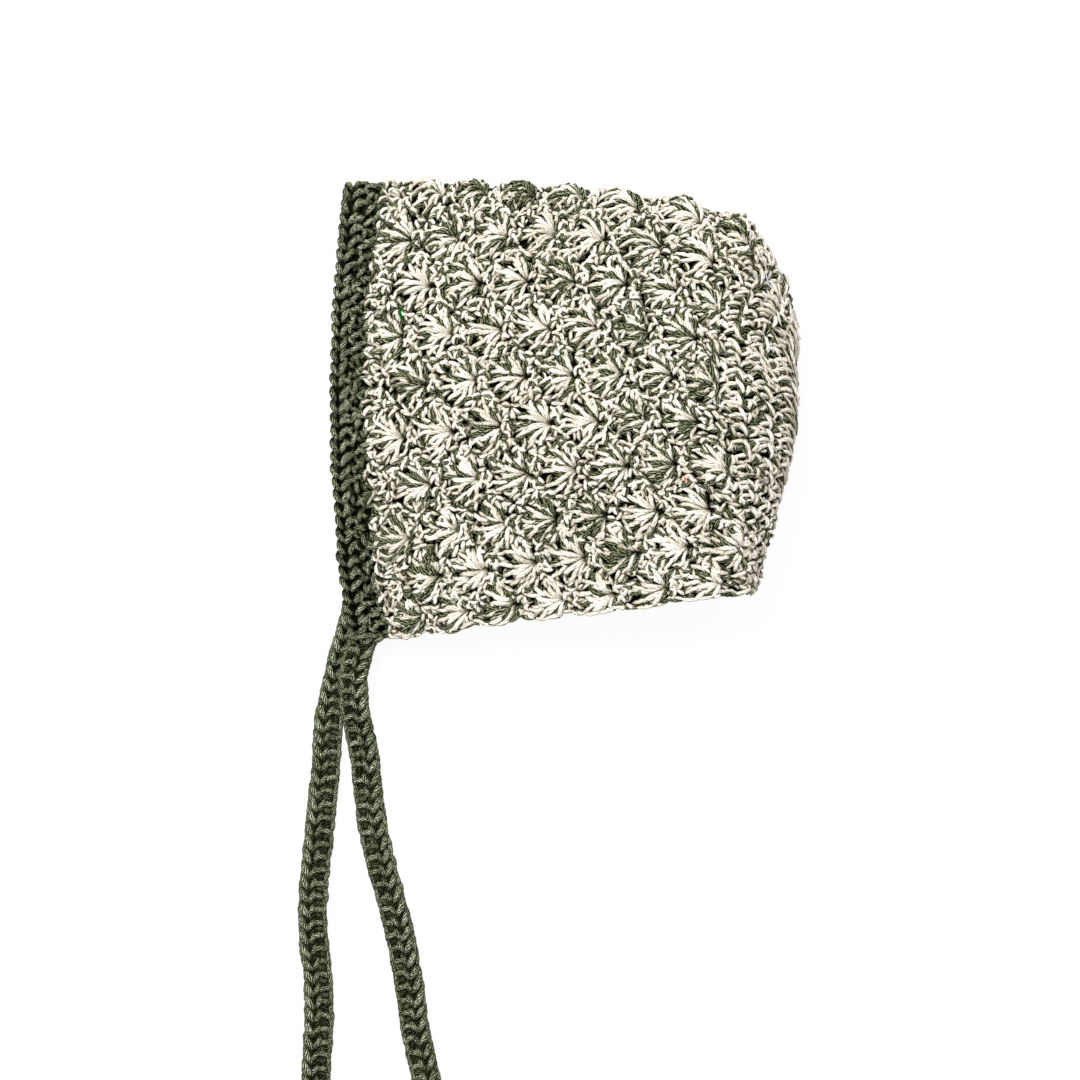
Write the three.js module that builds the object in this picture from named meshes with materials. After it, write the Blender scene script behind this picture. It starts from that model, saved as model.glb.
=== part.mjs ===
// A crocheted baby bonnet lying on its side, with a ribbed front band and two crocheted ties.
// Millimetres, +Z up. +X runs from the face opening to the back of the head, +Y from the neck to the
// crown. The bonnet is folded along its middle, so one half lies on the floor and the other over it.
import * as THREE from "three";

// Driving sizes.
const BAND_WIDTH = 10.2; // ribbed green band round the face
const BODY_DEPTH = 108.7; // shell stitch, from the band to the back panel
const PANEL_DEPTH = 21.3; // half of the back panel, as the folded bonnet shows it
const HEIGHT = 142; // neck corner to crown
const PUFF = 42; // highest outer height of the upper side
const CLOTH = 4.6; // thickness of the crochet
const SEAM_GAP = 0.4; // clearance between pieces that meet

const SHELL_ROWS = 14; // rows of shells between band and panel
const SHELL_LENGTH = 12.1; // of one shell, which reaches over the next row
const PANEL_ROWS = 3; // rows of long stitches from the panel's edge to its middle
const BAND_ROWS = 3; // rows of short stitches in the band
const SHELLS_PER_SIDE = 4.65; // shells of one row, from the crown fold to the neck edge
const SHELL_RELIEF = 1.8; // how far a shell stands proud
const PANEL_RELIEF = 0.7; // rib between two rows of the panel
const BAND_RELIEF = 0.7; // rib between two rows of the band
const FOLD_RUN = 0.62; // width of the rounded fold, as a share of the fold's height
const FLOOR_RUN = 0.5; // the same, under the bonnet, where its weight presses it flat

const TIE_WIDTH = 8.4;
const TIE_THICK = 4.2;
const TIE_STEPS = 52;

// Where the origin lies: the middle of the bonnet's box, on the floor.
const ORIGIN_X = 71.4;
const ORIGIN_Y = 71;

// Sections run along the rows of stitches, from the crown fold to the neck edge. zone and along say
// where a section lies: in the band, body or panel, and how far through it. bow is how far its five
// stations stand back from its middle one, and rise how high they are, as shares of HEIGHT. tall is
// the outer height of the upper side at each station, as a share of PUFF.
const SECTIONS = [
  { name: "front edge", zone: "band", along: 0,
    bow: [0.022, 0.005, 0, 0.013, 0.035], rise: [0.972, 0.736, 0.452, 0.201, 0.014],
    tall: [0.36, 0.5, 0.6, 0.48, 0.243] },
  { name: "band join", zone: "band", along: 1,
    bow: [0.034, 0.002, 0, 0.017, 0.048], rise: [0.97, 0.736, 0.452, 0.201, 0.012],
    tall: [0.37, 0.55, 0.65, 0.56, 0.32] },
  { name: "front of body", zone: "body", along: 0.384,
    bow: [0.024, 0.004, 0, 0.017, 0.037], rise: [0.959, 0.736, 0.452, 0.206, 0.049],
    tall: [0.42, 0.7, 0.8, 0.76, 0.62] },
  { name: "middle of body", zone: "body", along: 0.661,
    bow: [0.024, 0, 0, 0.022, 0.037], rise: [0.944, 0.736, 0.452, 0.206, 0.07],
    tall: [0.48, 0.77, 0.88, 0.88, 0.8] },
  { name: "back of body", zone: "body", along: 0.867,
    bow: [0.07, 0.011, 0, 0.033, 0.05], rise: [0.91, 0.74, 0.452, 0.198, 0.092],
    tall: [0.54, 0.79, 0.9, 0.93, 0.91] },
  { name: "panel seam", zone: "body", along: 1,
    bow: [0.07, -0.004, 0, 0.033, 0.037], rise: [0.857, 0.705, 0.474, 0.228, 0.099],
    tall: [0.61, 0.8, 0.91, 0.98, 0.99] },
  { name: "outer panel rib", zone: "panel", along: 0.35,
    bow: [0.052, -0.009, 0, 0.01, -0.008], rise: [0.789, 0.683, 0.452, 0.238, 0.104],
    tall: [0.62, 0.78, 0.9, 0.98, 1] },
  { name: "inner panel rib", zone: "panel", along: 0.68,
    bow: [0.035, -0.011, 0, -0.02, -0.055], rise: [0.706, 0.64, 0.452, 0.258, 0.108],
    tall: [0.62, 0.72, 0.84, 0.95, 1] },
  { name: "middle of panel", zone: "panel", along: 1,
    bow: [0.002, 0.004, 0, -0.043, -0.102], rise: [0.628, 0.572, 0.452, 0.287, 0.11],
    tall: [0.62, 0.67, 0.79, 0.93, 1] },
];

// Centre lines of the ties, from the front neck corner to just past the end that shows. They lie on
// the floor, and the upper one comes down off the lower one.
const TIE_Z = TIE_THICK / 2;
const UPPER_Z = TIE_Z + 0.2; // clear of the floor, because the sweep rolls this tie slightly
const LOWER_TIE_POINTS = [
  [-67.2, -70.2], [-67.9, -72.8], [-69.5, -77.8], [-70.8, -84.0], [-72.2, -90.2],
  [-73.5, -96.8], [-74.2, -108.8], [-75.5, -121.2], [-76.7, -133.6], [-78.0, -146.0],
  [-78.5, -154.8], [-78.1, -164.6], [-76.8, -175.8], [-76.5, -189.4], [-77.2, -201.8],
  [-77.5, -214.3],
].map(([x, y]) => [x, y, TIE_Z]);
const UPPER_TIE_POINTS = [
  [-62.9, -71.0, 7.9], [-63.6, -73.8, 7.9], [-65.0, -78.3, 7.8], [-65.8, -84.0, 7.4],
  [-65.6, -90.2, 6.4], [-64.5, -96.8, 4.3], [-63.3, -102.8, 2.8], [-62.2, -108.8, 2.4],
  [-61.2, -118.8, UPPER_Z], [-59.6, -130.8, UPPER_Z], [-57.0, -141.8, UPPER_Z],
  [-53.6, -153.8, UPPER_Z], [-50.9, -165.3, UPPER_Z], [-48.5, -178.8, UPPER_Z],
  [-46.5, -192.8, UPPER_Z], [-44.0, -203.8, UPPER_Z], [-41.9, -214.3, UPPER_Z],
];

const ROW_PITCH = (BODY_DEPTH - SHELL_LENGTH) / (SHELL_ROWS - 1);
const ZONE_START = { band: 0, body: BAND_WIDTH, panel: BAND_WIDTH + BODY_DEPTH };
const ZONE_DEPTH = { band: BAND_WIDTH, body: BODY_DEPTH, panel: PANEL_DEPTH };
const JOIN = BAND_WIDTH; // row coordinate of the band's inner edge
const SEAM = BAND_WIDTH + BODY_DEPTH; // row coordinate of the panel's edge
const MIDDLE = SEAM + PANEL_DEPTH; // row coordinate of the fold down the back

// Smooth value of a table of numbers at t, with knots at the given places.
function smooth(knots, values, t) {
  const last = knots.length - 1;
  let i = 0;
  while (i < last - 1 && t > knots[i + 1]) i++;
  const slope = (k) => {
    const a = Math.max(0, k - 1);
    const b = Math.min(last, k + 1);
    return (values[b] - values[a]) / (knots[b] - knots[a]);
  };
  const width = knots[i + 1] - knots[i];
  const u = THREE.MathUtils.clamp((t - knots[i]) / width, 0, 1);
  const u2 = u * u;
  const u3 = u2 * u;
  return (
    (2 * u3 - 3 * u2 + 1) * values[i] + (u3 - 2 * u2 + u) * width * slope(i) +
    (3 * u2 - 2 * u3) * values[i + 1] + (u3 - u2) * width * slope(i + 1)
  );
}

const sectionRows = SECTIONS.map((s) => ZONE_START[s.zone] + s.along * ZONE_DEPTH[s.zone]);

// The five stations of the section at row coordinate r: plan position and outer height.
function stations(r) {
  return [0, 1, 2, 3, 4].map((k) => ({
    x: r + HEIGHT * smooth(sectionRows, SECTIONS.map((s) => s.bow[k]), r) - ORIGIN_X,
    y: HEIGHT * smooth(sectionRows, SECTIONS.map((s) => s.rise[k]), r) - ORIGIN_Y,
    top: PUFF * smooth(sectionRows, SECTIONS.map((s) => s.tall[k]), r),
  }));
}

// Points of the section at r, close together near the fold, where the cloth turns over.
function planCurve(r, count) {
  const five = stations(r);
  const knots = [0];
  for (let k = 1; k < 5; k++) {
    knots.push(knots[k - 1] + Math.hypot(five[k].x - five[k - 1].x, five[k].y - five[k - 1].y));
  }
  const points = [];
  for (let i = 0; i <= count; i++) {
    const t = (1 - Math.cos((Math.PI / 2) * (i / count))) * knots[4];
    const at = (key) => smooth(knots, five.map((s) => s[key]), t);
    points.push({ x: at("x"), y: at("y"), top: at("top") });
  }
  return points;
}

// The fold: over the crown from the front edge to the panel, then down the middle of the panel.
function foldLine() {
  const line = [];
  const steps = 90;
  for (let i = 0; i < steps; i++) line.push(stations((MIDDLE * i) / steps)[0]);
  return line.concat(planCurve(MIDDLE, 70));
}
const FOLD = foldLine();

// Distance of a plan point from the fold, and the fold's outer height there.
function toFold(p) {
  let best = { distance: Infinity, tall: 0 };
  for (let i = 0; i + 1 < FOLD.length; i++) {
    const a = FOLD[i];
    const b = FOLD[i + 1];
    const dx = b.x - a.x;
    const dy = b.y - a.y;
    const square = dx * dx + dy * dy;
    if (square === 0) continue;
    const u = THREE.MathUtils.clamp(((p.x - a.x) * dx + (p.y - a.y) * dy) / square, 0, 1);
    const distance = Math.hypot(p.x - a.x - u * dx, p.y - a.y - u * dy);
    if (distance < best.distance) best = { distance, tall: a.top + u * (b.top - a.top) };
  }
  return best;
}

// Share of a rounded edge's height that is left at a distance from the fold: 1 at it, 0 past the run.
function roundOff(distance, run) {
  const left = 1 - Math.min(1, distance / run);
  return 1 - Math.sqrt(1 - left * left);
}

// Middle of the cloth over a plan point, on the upper side (+1) or the lower side (-1).
function clothPoint(p, side) {
  const fold = toFold(p);
  const middle = fold.tall / 2;
  if (side > 0) {
    const top = p.top - CLOTH / 2;
    const drop = (top - middle) * roundOff(fold.distance, fold.tall * FOLD_RUN);
    return new THREE.Vector3(p.x, p.y, top - drop);
  }
  const lift = (middle - CLOTH / 2) * roundOff(fold.distance, fold.tall * FLOOR_RUN);
  return new THREE.Vector3(p.x, p.y, CLOTH / 2 + lift);
}

// The middle of the cloth along the row at r, as points and lengths of cloth from the crown fold, for
// the lower side and the upper side.
function clothRow(r) {
  const plan = planCurve(r, 90);
  return [-1, 1].map((side) => {
    const points = plan.map((p) => clothPoint(p, side));
    const lengths = [0];
    for (let i = 1; i < points.length; i++) {
      lengths.push(lengths[i - 1] + points[i].distanceTo(points[i - 1]));
    }
    return { points, lengths };
  });
}

// A point of a row, where share runs from -1 at the lower neck edge, over the fold at 0, to 1 at the
// upper neck edge.
function pointOn(row, share) {
  const { points, lengths } = row[share < 0 ? 0 : 1];
  const wanted = Math.min(1, Math.abs(share)) * lengths[lengths.length - 1];
  let i = 0;
  while (i < points.length - 2 && lengths[i + 1] < wanted) i++;
  const u = (wanted - lengths[i]) / (lengths[i + 1] - lengths[i]);
  return points[i].clone().lerp(points[i + 1], THREE.MathUtils.clamp(u, 0, 1));
}

// Points of the cloth at the given shares of the row at r, each with the direction that faces out.
function clothAt(r, shares) {
  const step = 0.4;
  const [before, here, after] = [Math.max(0, r - step), r, Math.min(MIDDLE, r + step)].map(clothRow);
  return shares.map((share) => {
    const across = pointOn(after, share).sub(pointOn(before, share));
    const along = pointOn(here, share + 0.006).sub(pointOn(here, share - 0.006));
    return { at: pointOn(here, share), out: along.cross(across).normalize() };
  });
}

// Places along a row, in shells from the fold: every quarter of a shell, and closer round the fold.
function placesAlongRow() {
  const half = [];
  for (let c = 0.25; c < SHELLS_PER_SIDE - 0.1; c += 0.25) half.push(c);
  half.push(0.125, 0.375, SHELLS_PER_SIDE);
  half.sort((a, b) => a - b);
  return [...half.map((c) => -c).reverse(), 0, ...half];
}
const PLACES = placesAlongRow();

// Relief fades to nothing where the cloth lies flat on the floor.
function offTheFloor(point) {
  return THREE.MathUtils.smoothstep(point.z, CLOTH / 2 + 0.05, CLOTH / 2 + 3);
}

// A wall of cloth over the rows at the given coordinates. relief(r, place) is how far its outer face
// stands proud. A row down the panel's middle has the same points on both sides.
function clothWall(rows, relief) {
  const across = PLACES.length;
  const fold = (across - 1) / 2;
  const points = [];
  const ids = rows.map((r) => {
    const cloth = clothAt(r, PLACES.map((c) => c / SHELLS_PER_SIDE));
    const row = [];
    cloth.forEach(({ at, out }, j) => {
      if (r === MIDDLE && j > fold) {
        row.push(row[2 * fold - j]);
        return;
      }
      if (r === MIDDLE) out.setZ(0).normalize();
      row.push(points.length);
      points.push({ at, out, proud: relief(r, PLACES[j]) * offTheFloor(at) });
    });
    return row;
  });
  const faces = [];
  for (let i = 0; i + 1 < rows.length; i++) {
    for (let j = 0; j + 1 < across; j++) {
      const [a, b, c, d] = [ids[i][j], ids[i + 1][j], ids[i + 1][j + 1], ids[i][j + 1]];
      if (j < fold) faces.push([a, c, b], [a, d, c]);
      else faces.push([a, d, b], [b, d, c]);
    }
  }
  return thicken(points, faces);
}

// A closed solid round an open sheet of faces: half the cloth's thickness to each side, and the
// relief on the outside.
function thicken(points, faces) {
  const outside = points.map((p) => p.at.clone().addScaledVector(p.out, CLOTH / 2 + p.proud));
  const inside = points.map((p) => p.at.clone().addScaledVector(p.out, -CLOTH / 2));
  const inner = points.length;
  const index = [];
  const edges = new Map();
  for (const [a, b, c] of faces) {
    index.push(a, b, c, inner + a, inner + c, inner + b);
    for (const [p, q] of [[a, b], [b, c], [c, a]]) edges.set(`${p},${q}`, [p, q]);
  }
  for (const [p, q] of edges.values()) {
    if (!edges.has(`${q},${p}`)) index.push(q, p, inner + p, q, inner + p, inner + q);
  }
  const geometry = new THREE.BufferGeometry().setFromPoints([...outside, ...inside]);
  geometry.setIndex(index);
  geometry.computeVertexNormals();
  return geometry;
}

// Row coordinates from start to end, in equal steps.
function spread(start, end, steps) {
  return Array.from({ length: steps + 1 }, (_, i) => start + ((end - start) * i) / steps);
}

// Shells stand in staggered rows. Each springs from a point and is highest half of its length on.
function shellRelief(r, c) {
  const row = (SEAM - SHELL_LENGTH / 2 - r) / ROW_PITCH;
  return SHELL_RELIEF * (0.5 + 0.5 * Math.cos(Math.PI * row) * Math.cos(2 * Math.PI * c));
}

// Ribs that run along the rows.
function ribRelief(r, start, depth, rows, height) {
  return height * (0.5 - 0.5 * Math.cos((2 * Math.PI * rows * (r - start)) / depth));
}

function bandGeometry() {
  const rows = spread(0, JOIN - SEAM_GAP / 2, 2 * BAND_ROWS);
  return clothWall(rows, (r) => ribRelief(r, 0, BAND_WIDTH, BAND_ROWS, BAND_RELIEF));
}

function bodyGeometry() {
  const rows = spread(JOIN + SEAM_GAP / 2, SEAM - SEAM_GAP / 2, 2 * SHELL_ROWS + 1);
  return clothWall(rows, shellRelief);
}

function panelGeometry() {
  const rows = spread(SEAM + SEAM_GAP / 2, MIDDLE, 2 * PANEL_ROWS);
  return clothWall(rows, (r) => ribRelief(r, SEAM, PANEL_DEPTH, PANEL_ROWS, PANEL_RELIEF));
}

// A tie is a strap with rounded edges, swept along its points. The sweep turns the section so that
// its first axis stands up and its second lies across the tie.
function tieGeometry(points) {
  const section = new THREE.Shape();
  const corners = [
    [0.5, 0.3], [0.28, 0.5], [-0.28, 0.5], [-0.5, 0.3],
    [-0.5, -0.3], [-0.28, -0.5], [0.28, -0.5], [0.5, -0.3],
  ];
  section.setFromPoints(corners.map(([x, y]) => new THREE.Vector2(x * TIE_THICK, y * TIE_WIDTH)));
  section.closePath();
  const path = new THREE.CatmullRomCurve3(points.map((p) => new THREE.Vector3(...p)));
  return new THREE.ExtrudeGeometry(section, { steps: TIE_STEPS, extrudePath: path });
}

const GREEN = new THREE.MeshStandardMaterial({ color: 0x4a4f38, roughness: 0.85, metalness: 0 });
const MARLED = new THREE.MeshStandardMaterial({ color: 0xa9a591, roughness: 0.9, metalness: 0 });

function piece(name, geometry, material) {
  const mesh = new THREE.Mesh(geometry, material);
  mesh.name = name;
  return mesh;
}

const bonnet = new THREE.Group();
bonnet.add(
  piece("front_band", bandGeometry(), GREEN),
  piece("shell_body", bodyGeometry(), MARLED),
  piece("back_panel", panelGeometry(), MARLED),
  piece("lower_tie", tieGeometry(LOWER_TIE_POINTS), GREEN),
  piece("upper_tie", tieGeometry(UPPER_TIE_POINTS), GREEN),
);

export default bonnet;
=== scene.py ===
# %% [markdown]
# # A crocheted baby bonnet, stitch by stitch
# The bonnet lies folded on its side. Its parts are a body of shell stitch in cream and green yarn, a
# U-shaped panel at the back of the head, a green band round the face, and two green ties.
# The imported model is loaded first. It fixes the size and the place of everything that follows.

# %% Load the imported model
import math
import bpy
import numpy as np
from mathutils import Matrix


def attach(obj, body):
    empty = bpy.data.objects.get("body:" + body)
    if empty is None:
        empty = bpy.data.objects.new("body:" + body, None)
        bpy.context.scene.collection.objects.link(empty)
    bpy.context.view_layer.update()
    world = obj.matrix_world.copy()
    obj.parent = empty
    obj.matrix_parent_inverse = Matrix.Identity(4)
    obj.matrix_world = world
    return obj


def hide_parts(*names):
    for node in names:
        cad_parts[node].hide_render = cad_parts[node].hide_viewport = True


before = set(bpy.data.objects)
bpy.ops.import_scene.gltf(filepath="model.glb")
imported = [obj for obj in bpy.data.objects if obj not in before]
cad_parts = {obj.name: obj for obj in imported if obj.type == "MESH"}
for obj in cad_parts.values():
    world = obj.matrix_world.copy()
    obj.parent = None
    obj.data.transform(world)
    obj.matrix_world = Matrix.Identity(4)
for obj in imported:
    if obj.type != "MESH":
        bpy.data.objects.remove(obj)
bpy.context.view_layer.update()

print("solids in the packed model:", sorted(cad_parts))

# %% [markdown]
# ## The camera
# The picture was taken from straight above. It could be matched with a flat, parallel view. A long
# lens at a height of 1.86 m is closer to a real one: it shows the bonnet with almost no perspective,
# and 335 mm of the table from edge to edge.

# %% Camera
MM = 0.001
LENS_HEIGHT = 1.86
FOCAL_LENGTH = 200  # millimetres
SENSOR_WIDTH = 36  # millimetres

bpy.ops.object.camera_add(location=(-8.1 * MM, -40.5 * MM, LENS_HEIGHT), rotation=(0, 0, 0))
camera = bpy.context.object
camera.name = "overhead_camera"
camera.data.lens = FOCAL_LENGTH
camera.data.sensor_width = SENSOR_WIDTH
camera.data.clip_end = 10
bpy.context.scene.camera = camera
print("width of the view at the table:", round(SENSOR_WIDTH / FOCAL_LENGTH * LENS_HEIGHT / MM, 1), "mm")

# %% [markdown]
# ## Yarn
# Real crochet is one long strand bent into loops, so it is built from strands here too. Each stitch
# is a few short lengths of yarn, given as points along their middle. A skein gathers thousands of
# them as arrays and makes one mesh of them, because adding them one by one would take minutes.
# Each length is a closed tube with four to eight sides. Its UV map runs along the yarn in millimetres
# and once round it, so that the twist of the plies can follow the yarn.

# %% Skein: lengths of yarn gathered into one mesh
rng = np.random.default_rng(7)


def unit(v):
    return v / np.maximum(np.linalg.norm(v, axis=-1, keepdims=True), 1e-9)


class Skein:
    """Lengths of yarn, in millimetres, that become one mesh, fixed to the bonnet's one body."""

    def __init__(self):
        self.points, self.corners, self.sizes = [], [], []
        self.uvs, self.dyes, self.shades = [], [], []
        self.count = 0

    def lay(self, middle, up, radius, dye, shade, sides=6):
        """middle and up are (n, k, 3). radius and shade spread to (n, k), and dye to (n,)."""
        n, k, _ = middle.shape
        radius = np.broadcast_to(radius, (n, k))
        shade = np.broadcast_to(shade, (n, k))
        middle = np.concatenate([middle[..., :2], np.maximum(middle[..., 2], radius)[..., None]], axis=-1)
        along = unit(np.gradient(middle, axis=1))
        side = unit(np.cross(along, up))
        raised = np.cross(side, along)
        turn = 2 * np.pi * np.arange(sides) / sides
        ring = np.cos(turn)[:, None] * side[:, :, None] + np.sin(turn)[:, None] * raised[:, :, None]
        points = middle[:, :, None] + radius[:, :, None, None] * ring
        ids = self.count + np.arange(n * k * sides).reshape(n, k, sides)
        after = np.roll(ids, -1, axis=2)
        quads = np.stack([ids[:, :-1], ids[:, 1:], after[:, 1:], after[:, :-1]], axis=-1)
        step = np.linalg.norm(np.diff(middle, axis=1), axis=2)
        length = np.concatenate([np.zeros((n, 1)), np.cumsum(step, axis=1)], axis=1)
        length = length + rng.uniform(0, 8, (n, 1))
        u = np.broadcast_to(length[:, :, None], ids.shape)
        v = np.broadcast_to(np.arange(sides) / sides, ids.shape)
        u4 = np.stack([u[:, :-1], u[:, 1:], u[:, 1:], u[:, :-1]], axis=-1)
        v4 = np.stack([v[:, :-1], v[:, 1:], v[:, 1:] + 1 / sides, v[:, :-1] + 1 / sides], axis=-1)
        caps = np.concatenate([ids[:, 0], ids[:, -1, ::-1]])
        self.points.append(points.reshape(-1, 3))
        self.corners += [quads.reshape(-1), caps.reshape(-1)]
        self.sizes += [np.full(quads.size // 4, 4), np.full(2 * n, sides)]
        self.uvs += [np.stack([u4, v4], axis=-1).reshape(-1, 2), np.zeros((caps.size, 2))]
        dye = np.broadcast_to(dye, (n,))
        self.dyes += [np.repeat(dye, (k - 1) * sides), np.tile(dye, 2)]
        self.shades.append(np.repeat(shade.reshape(-1), sides))
        self.count += n * k * sides

    def make(self, name, materials):
        """The mesh, in metres, with one material for each dye."""
        mesh = bpy.data.meshes.new(name)
        points = np.concatenate(self.points) * MM
        corners = np.concatenate(self.corners)
        sizes = np.concatenate(self.sizes)
        mesh.vertices.add(len(points))
        mesh.vertices.foreach_set("co", points.ravel())
        mesh.loops.add(len(corners))
        mesh.loops.foreach_set("vertex_index", corners.astype(np.int32))
        mesh.polygons.add(len(sizes))
        mesh.polygons.foreach_set("loop_start", (np.cumsum(sizes) - sizes).astype(np.int32))
        mesh.update(calc_edges=True)
        uv = mesh.uv_layers.new(name="yarn")
        uv.uv.foreach_set("vector", np.concatenate(self.uvs).astype(np.float32).ravel())
        for material in materials:
            mesh.materials.append(material)
        mesh.polygons.foreach_set("material_index", np.concatenate(self.dyes).astype(np.int32))
        mesh.polygons.foreach_set("use_smooth", np.ones(len(sizes), dtype=bool))
        shade = mesh.attributes.new("shade", "FLOAT", "POINT")
        shade.data.foreach_set("value", np.concatenate(self.shades).astype(np.float32))
        mesh.validate()
        piece = bpy.data.objects.new(name, mesh)
        bpy.context.collection.objects.link(piece)
        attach(piece, "root")
        triangles = int((sizes - 2).sum())
        print(name, "has", len(sizes), "faces,", triangles, "triangles")
        return piece


# %% [markdown]
# ## Stitch charts
# A stitch is drawn once on a small chart: along its row, across the row, and up from the cloth, in
# millimetres. A smooth curve through the few chart points gives the bends of the yarn. A place
# function then lays every copy of the stitch on its own spot of the cloth or the tie.

# %% Charts and their curves
CREAM, GREEN = 0, 1


def bend(chart, steps):
    """A smooth curve of the given number of points through a chart's points (..., m, 3)."""
    chart = np.asarray(chart, dtype=float)
    m = chart.shape[-2]
    ends = [2 * chart[..., :1, :] - chart[..., 1:2, :], chart, 2 * chart[..., -1:, :] - chart[..., -2:-1, :]]
    padded = np.concatenate(ends, axis=-2)
    t = np.linspace(0, m - 1, steps)
    i = np.minimum(t.astype(int), m - 2)
    f = (t - i)[:, None]
    a, b, c, d = (padded[..., i + j, :] for j in range(4))
    return 0.5 * (2 * b + (c - a) * f + (2 * a - 5 * b + 4 * c - d) * f**2 + (3 * b - a - 3 * c + d) * f**3)


def taper(steps, ends=0.36):
    """Share of the full radius along a length of yarn that dives into the cloth at both ends."""
    t = np.linspace(0, 1, steps)
    return ends + (1 - ends) * np.sin(np.pi * t) ** 0.6


def depth_shade(height, low, high):
    """Painted shade for yarn deep in the cloth: nearly black at the height low, and full at high."""
    return 0.05 + 0.95 * np.clip((height - low) / (high - low), 0, 1)


def copies(chart, steps, starts, jitter, swing=0.0):
    """The chart's curve at each start (n, 2), a little moved and turned every time."""
    n = len(starts)
    along, across, height = bend(chart, steps).T
    turn = rng.normal(0, swing, (n, 1))
    local = np.stack([
        starts[:, :1] + along * np.cos(turn) - across * np.sin(turn),
        starts[:, 1:] + along * np.sin(turn) + across * np.cos(turn),
        height + 0 * turn,
    ], axis=-1)
    return local + rng.normal(0, jitter, (n, 1, 3)) * [1, 1, 0.6]


def lay_strands(skein, local, place, radius, dye, sides=6, painted_shade_depths=(0.6, 2.4)):
    """Single strands through the chart points local (n, k, 3). One radius is tapered at the ends, and
    a row of them is taken as it is."""
    middle, up = place(local)
    # painted shade by height in the cloth, times a random tone of each strand
    shade_and_tone = rng.uniform(0.84, 1.16, (len(local), 1)) * depth_shade(local[..., 2], *painted_shade_depths)
    radius = radius if np.ndim(radius) else radius * taper(local.shape[1])
    skein.lay(middle, up, radius, dye, shade_and_tone, sides)


# %% [markdown]
# A chain of V stitches edges the band, the panel's rows and the ties. Each V has two legs that start
# wide apart and low, rise over the stitch before and meet at the tip, where the next V covers them.

# %% Chart of a V stitch
def v_stitch(pitch, width, low=0.5, high=1.9):
    """Two legs, one for each side. The tip points along the row."""
    half = width / 2
    return [
        [
            [-0.25 * pitch, s * half * 0.45, low],
            [0.05 * pitch, s * half * 0.95, low + 0.6 * (high - low)],
            [0.45 * pitch, s * half * 0.95, high],
            [0.85 * pitch, s * half * 0.55, high - 0.1],
            [1.15 * pitch, s * half * 0.12, low + 0.5 * (high - low)],
        ]
        for s in (-1, 1)
    ]


# %% [markdown]
# ## The ties come first
# Each tie is a narrow strip of crochet about 8 mm wide. It leaves the front neck corner, and the
# upper one passes over the lower one before it comes down to the table. The points are the middle of
# the strip. A strip is a solid core in the shade of the stitches, with the stitches laid over it.

# %% Routes of the ties
TIE_THICK = 4.2
TIE_PITCH = 4.1
TIE_Z = TIE_THICK / 2
LOWER_TIE = [
    (-67.2, -70.2), (-67.9, -72.8), (-69.5, -77.8), (-70.8, -84.0), (-72.2, -90.2), (-73.5, -96.8),
    (-74.2, -108.8), (-75.5, -121.2), (-76.7, -133.6), (-78.0, -146.0), (-78.5, -154.8), (-78.1, -164.6),
    (-76.8, -175.8), (-76.5, -189.4), (-77.2, -201.8), (-77.5, -214.3),
]
UPPER_TIE = [
    (-62.9, -71.0, 7.9), (-63.6, -73.8, 7.9), (-65.0, -78.3, 7.8), (-65.8, -84.0, 7.4),
    (-65.6, -90.2, 6.4), (-64.5, -96.8, 4.3), (-63.3, -102.8, 2.8), (-62.2, -108.8, 2.4),
    (-61.2, -118.8, 2.3), (-59.6, -130.8, 2.3), (-57.0, -141.8, 2.3), (-53.6, -153.8, 2.3),
    (-50.9, -165.3, 2.3), (-48.5, -178.8, 2.3), (-46.5, -192.8, 2.3), (-44.0, -203.8, 2.3),
    (-41.9, -214.3, 2.3),
]


class Strip:
    """A flat strip along a route, and the place of a chart point on it."""

    def __init__(self, points):
        self.middle = bend(points, 400)
        step = np.linalg.norm(np.diff(self.middle, axis=0), axis=1)
        self.at = np.concatenate([[0], np.cumsum(step)])
        self.length = self.at[-1]
        self.along = unit(np.gradient(self.middle, axis=0))
        self.right = unit(np.cross([0, 0, 1.0], self.along))
        self.up = np.cross(self.along, self.right)

    def read(self, table, s):
        return np.stack([np.interp(s, self.at, table[:, k]) for k in range(3)], axis=-1)

    def place(self, local):
        s = local[..., 0]
        inside = np.clip(s, 0, self.length)
        right, up, along = (self.read(t, inside) for t in (self.right, self.up, self.along))
        middle = self.read(self.middle, inside) + (s - inside)[..., None] * along
        return middle + local[..., 1:2] * right + local[..., 2:3] * up, up


lower_strip = Strip([(x, y, TIE_Z) for x, y in LOWER_TIE])
upper_strip = Strip(UPPER_TIE)
print("lengths of the ties:", round(lower_strip.length, 1), round(upper_strip.length, 1), "mm")

# %% [markdown]
# ## Shader maths
# Yarn needs a few sums in its material: the twist of the plies, the shade deep in a stitch, the mix
# of light and dark fibres. Written as nodes one by one, these are hard to read. The small class below
# wraps a node's output, so that an ordinary Python expression adds the nodes.

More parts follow.
